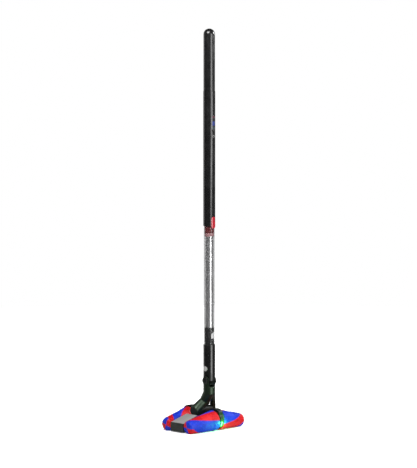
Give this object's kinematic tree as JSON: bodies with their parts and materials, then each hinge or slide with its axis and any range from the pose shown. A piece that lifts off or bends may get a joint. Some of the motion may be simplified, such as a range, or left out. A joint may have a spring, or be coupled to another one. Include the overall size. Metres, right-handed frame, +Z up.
{
  "type": "cordless stick vacuum cleaner",
  "caption": "Slim cordless stick vacuum: slender tube handle with a clear dust bin, folding neck and a low head carrying cone-shaped plush rollers.",
  "frame": {"origin": "on the floor, under the middle of the whole object's box", "axes": "+Z up along the tube; +X along the head's long axis, to the user's right; the user, the display and the red catch are on the -Y side"},
  "size_m": [0.222, 0.1612, 1.16],
  "materials": {
    "black_shell": "satin black moulded plastic",
    "yoke_plastic": "matt greenish black glass-filled plastic",
    "cover_grey": "fine textured light grey plastic",
    "dark_grey": "dark grey moulded plastic",
    "red_blue_pile": "soft plush pile in red and blue spiral stripes",
    "core_plastic": "dark moulded plastic",
    "clear": "clear polycarbonate",
    "shroud_metal": "fine perforated grey metal",
    "red_plastic": "glossy red plastic",
    "wiper_red": "dark red rubber",
    "lip_pink": "pale silicone",
    "button_grey": "light grey plastic",
    "display_glass": "dark glossy window over a small screen",
    "green_light": "clear green light window",
    "steel": "machined steel",
    "brass": "sintered bronze",
    "gear_plastic": "natural acetal",
    "board_green": "circuit board",
    "filter_white": "pleated filter paper",
    "cell_blue": "shrink-wrapped battery cells",
    "felt": "white felt",
    "contact_metal": "dark plated contact pads"
  },
  "bodies": {
    "head": {"spine_shell": "dark_grey", "sole_plate": "dark_grey", "left_top_cover": "cover_grey", "right_top_cover": "cover_grey", "left_end_cap": "dark_grey", "right_end_cap": "dark_grey", "left_drive_case": "black_shell", "right_drive_case": "black_shell", "light_windows": "green_light", "glide_pads": "felt", "pivot_bracket": "black_shell", "suction_elbow": "core_plastic", "pivot_pin": "steel", "rear_motor": "steel", "front_motor": "steel", "head_board": "board_green", "head_screws": "steel"},
    "rear_pinion": {"rear_pinion": "brass"},
    "front_pinion": {"front_pinion": "brass"},
    "rear_idler": {"rear_idler": "gear_plastic"},
    "front_idler": {"front_idler": "gear_plastic"},
    "rear_axle": {"rear_axle": "steel"},
    "front_axle": {"front_axle": "steel"},
    "rear_left_roller": {"rear_left_core": "core_plastic", "rear_left_sleeve": "red_blue_pile", "rear_left_bushes": "brass"},
    "rear_right_roller": {"rear_right_core": "core_plastic", "rear_right_sleeve": "red_blue_pile", "rear_right_bushes": "brass"},
    "front_left_roller": {"front_left_core": "core_plastic", "front_left_sleeve": "red_blue_pile", "front_left_bushes": "brass"},
    "front_right_roller": {"front_right_core": "core_plastic", "front_right_sleeve": "red_blue_pile", "front_right_bushes": "brass"},
    "yoke": {"yoke": "yoke_plastic", "yoke_caps": "black_shell"},
    "neck": {"neck": "black_shell"},
    "wand": {"collar": "black_shell", "collar_duct": "core_plastic", "release_spring": "steel", "bin_tube": "clear", "inlet_chute": "black_shell", "wiper_ring": "wiper_red", "wiper_lip": "lip_pink"},
    "release_button": {"release_button": "button_grey"},
    "inlet_flap": {"inlet_flap": "wiper_red"},
    "handle": {"shroud": "shroud_metal", "handle_shell": "black_shell", "dust_filter": "filter_white", "fan_unit": "steel", "control_board": "board_green", "display": "display_glass", "charge_contacts": "contact_metal"},
    "bin_catch": {"bin_catch": "red_plastic"},
    "power_button": {"power_button": "black_shell"},
    "battery": {"battery_shell": "black_shell", "battery_cells": "cell_blue"}
  },
  "joints": [
    {"name": "rear_left_spin", "type": "hinge", "parent": "head", "child": "rear_left_roller", "pos_m": [-0.007, -0.0507, 0.03045], "axis": [0.9895, -0.0689, 0.127], "continuous": true},
    {"name": "rear_right_spin", "type": "hinge", "parent": "head", "child": "rear_right_roller", "pos_m": [0.007, -0.0507, 0.03045], "axis": [0.9895, 0.0689, -0.127], "continuous": true},
    {"name": "front_left_spin", "type": "hinge", "parent": "head", "child": "front_left_roller", "pos_m": [-0.007, 0.0507, 0.03045], "axis": [0.9895, 0.0689, 0.127], "continuous": true},
    {"name": "front_right_spin", "type": "hinge", "parent": "head", "child": "front_right_roller", "pos_m": [0.007, 0.0507, 0.03045], "axis": [0.9895, -0.0689, -0.127], "continuous": true},
    {"name": "rear_axle_spin", "type": "hinge", "parent": "head", "child": "rear_axle", "pos_m": [0, -0.0507, 0.03045], "axis": [1, 0, 0], "continuous": true},
    {"name": "rear_idler_spin", "type": "hinge", "parent": "head", "child": "rear_idler", "pos_m": [0, -0.0255, 0.03045], "axis": [1, 0, 0], "continuous": true},
    {"name": "rear_pinion_spin", "type": "hinge", "parent": "head", "child": "rear_pinion", "pos_m": [0, -0.0087, 0.03045], "axis": [1, 0, 0], "continuous": true},
    {"name": "front_axle_spin", "type": "hinge", "parent": "head", "child": "front_axle", "pos_m": [0, 0.0507, 0.03045], "axis": [1, 0, 0], "continuous": true},
    {"name": "front_idler_spin", "type": "hinge", "parent": "head", "child": "front_idler", "pos_m": [0, 0.0255, 0.03045], "axis": [1, 0, 0], "continuous": true},
    {"name": "front_pinion_spin", "type": "hinge", "parent": "head", "child": "front_pinion", "pos_m": [0, 0.0087, 0.03045], "axis": [1, 0, 0], "continuous": true},
    {"name": "pitch", "type": "hinge", "parent": "head", "child": "yoke", "pos_m": [0, 0, 0.056], "axis": [1, 0, 0], "range_deg": [0, 38]},
    {"name": "tilt", "type": "hinge", "parent": "yoke", "child": "neck", "pos_m": [0, -0.0245, 0.144], "axis": [1, 0, 0], "range_deg": [0, 50]},
    {"name": "swivel", "type": "hinge", "parent": "neck", "child": "wand", "pos_m": [0, -0.0245, 0.164], "axis": [0, 0, 1], "range_deg": [-80, 80]},
    {"name": "release_press", "type": "slide", "parent": "wand", "child": "release_button", "axis": [1, 0, 0], "range_m": [0, 0.002], "stiffness_N_per_m": 600, "deforming": ["release_spring"]},
    {"name": "flap_hinge", "type": "hinge", "parent": "wand", "child": "inlet_flap", "pos_m": [-0.008, -0.0245, 0.254], "axis": [0, -1, 0], "range_deg": [0, 45]},
    {"name": "bin_slide", "type": "slide", "parent": "wand", "child": "handle", "axis": [0, 0, 1], "range_m": [0, 0.06]},
    {"name": "catch_slide", "type": "slide", "parent": "handle", "child": "bin_catch", "axis": [0, 0, -1], "range_m": [0, 0.008]},
    {"name": "power_press", "type": "slide", "parent": "handle", "child": "power_button", "axis": [0, 1, 0], "range_m": [0, 0.0012], "stiffness_N_per_m": 800},
    {"name": "battery_slide", "type": "slide", "parent": "handle", "child": "battery", "axis": [0, 0, 1], "range_m": [0, 0.04]}
  ],
  "couplings": [
    {"joint": "rear_right_spin", "follows": "rear_left_spin", "ratio": 1},
    {"joint": "rear_axle_spin", "follows": "rear_left_spin", "ratio": 1},
    {"joint": "rear_idler_spin", "follows": "rear_left_spin", "ratio": -1.1},
    {"joint": "rear_pinion_spin", "follows": "rear_left_spin", "ratio": 2.75},
    {"joint": "front_right_spin", "follows": "front_left_spin", "ratio": 1},
    {"joint": "front_axle_spin", "follows": "front_left_spin", "ratio": 1},
    {"joint": "front_idler_spin", "follows": "front_left_spin", "ratio": -1.1},
    {"joint": "front_pinion_spin", "follows": "front_left_spin", "ratio": 2.75}
  ]
}
